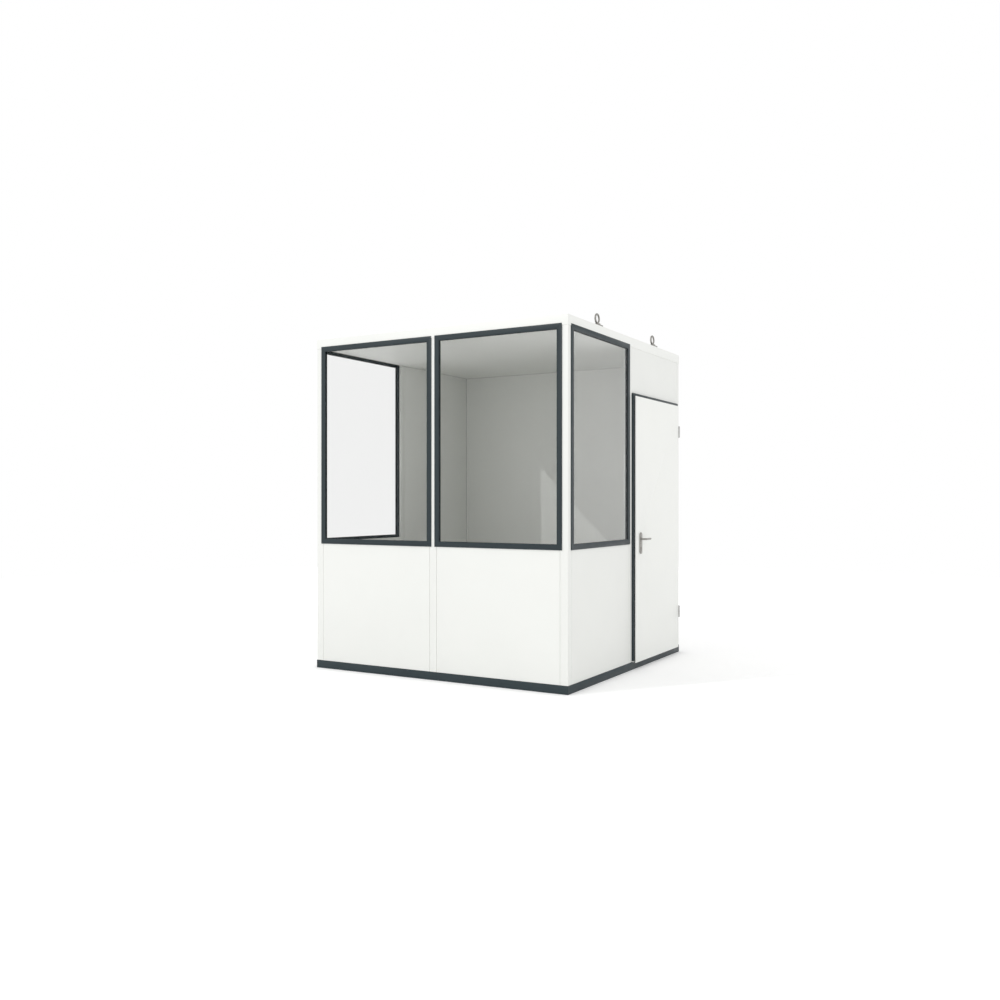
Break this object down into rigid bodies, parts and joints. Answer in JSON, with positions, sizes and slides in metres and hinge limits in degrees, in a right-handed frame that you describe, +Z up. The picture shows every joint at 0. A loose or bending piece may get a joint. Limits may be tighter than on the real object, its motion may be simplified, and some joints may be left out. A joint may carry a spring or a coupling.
{
  "type": "indoor modular cabin",
  "caption": "Square panel-built indoor office cabin with anthracite window bays, a hinged white steel door, a floor on a base frame, a flat roof and lifting eyes.",
  "frame": {"origin": "middle of the cabin's footprint on the floor it stands on, under the middle floor joist", "axes": "+Z up, -Y out of the front with its two windows, +X out of the side with the door"},
  "size_m": [2.336, 2.253, 2.738],
  "materials": {
    "wall_white": "white powder coat, fine satin",
    "roof_white": "white powder coat, fine satin",
    "door_white": "white powder coat, smooth satin",
    "base_anthracite": "anthracite powder coat, satin",
    "joist_steel": "dark primer",
    "floor_covering": "grey sheet vinyl, fine speckle",
    "window_anthracite": "anthracite powder coat, satin",
    "glass": "clear float glass",
    "door_frame_anthracite": "anthracite powder coat, satin",
    "aluminium": "mill finish",
    "hinge_steel": "zinc plated",
    "satin_steel": "satin stainless",
    "eye_steel": "bright zinc plated"
  },
  "bodies": {
    "cabin": {"corner_post_front_left": "wall_white", "corner_post_front_right": "wall_white", "corner_post_back_right": "wall_white", "corner_post_back_left": "wall_white", "mid_post_front": "wall_white", "mid_post_right": "wall_white", "mid_post_back": "wall_white", "mid_post_left": "wall_white", "parapet_front_left": "wall_white", "parapet_front_right": "wall_white", "parapet_right": "wall_white", "parapet_left": "wall_white", "wall_panel_left": "wall_white", "wall_panel_back_left": "wall_white", "wall_panel_back_right": "wall_white", "door_lintel_panel": "wall_white", "fascia_front": "roof_white", "fascia_right": "roof_white", "fascia_back": "roof_white", "fascia_left": "roof_white", "roof_panel": "roof_white", "base_front": "base_anthracite", "base_right": "base_anthracite", "base_back": "base_anthracite", "base_left": "base_anthracite", "floor_joists": "joist_steel", "floor_deck": "floor_covering", "window_frame_front_left": "window_anthracite", "window_frame_front_right": "window_anthracite", "window_frame_right": "window_anthracite", "window_frame_left": "window_anthracite", "glazing_beads": "window_anthracite", "window_pane_front_left": "glass", "window_pane_front_right": "glass", "window_pane_right": "glass", "window_pane_left": "glass", "door_jamb_lock_side": "door_frame_anthracite", "door_jamb_hinge_side": "door_frame_anthracite", "door_head": "door_frame_anthracite", "door_threshold": "aluminium", "hinge_frame_halves": "hinge_steel", "strike_plate": "satin_steel", "lifting_eye_front_right": "eye_steel", "lifting_eye_back_right": "eye_steel", "lifting_eye_back_left": "eye_steel", "lifting_eye_front_left": "eye_steel"},
    "door": {"door_leaf": "door_white", "hinge_leaf_halves": "hinge_steel", "lock_faceplate": "satin_steel", "lock_cylinder": "satin_steel", "handle_plate_outside": "satin_steel", "handle_plate_inside": "satin_steel"},
    "handle": {"lever_outside": "satin_steel", "lever_inside": "satin_steel", "handle_spindle": "satin_steel"}
  },
  "joints": [
    {"name": "door_swing", "type": "hinge", "parent": "cabin", "child": "door", "pos_m": [1.15, 1.05, 1.116], "axis": [0, 0, 1], "range_deg": [0, 180]},
    {"name": "handle_turn", "type": "hinge", "parent": "door", "child": "handle", "pos_m": [1.15, 0.146, 1.037], "axis": [-1, 0, 0], "range_deg": [0, 40], "stiffness_Nm_per_rad": 2, "springref_deg": -20.05}
  ]
}
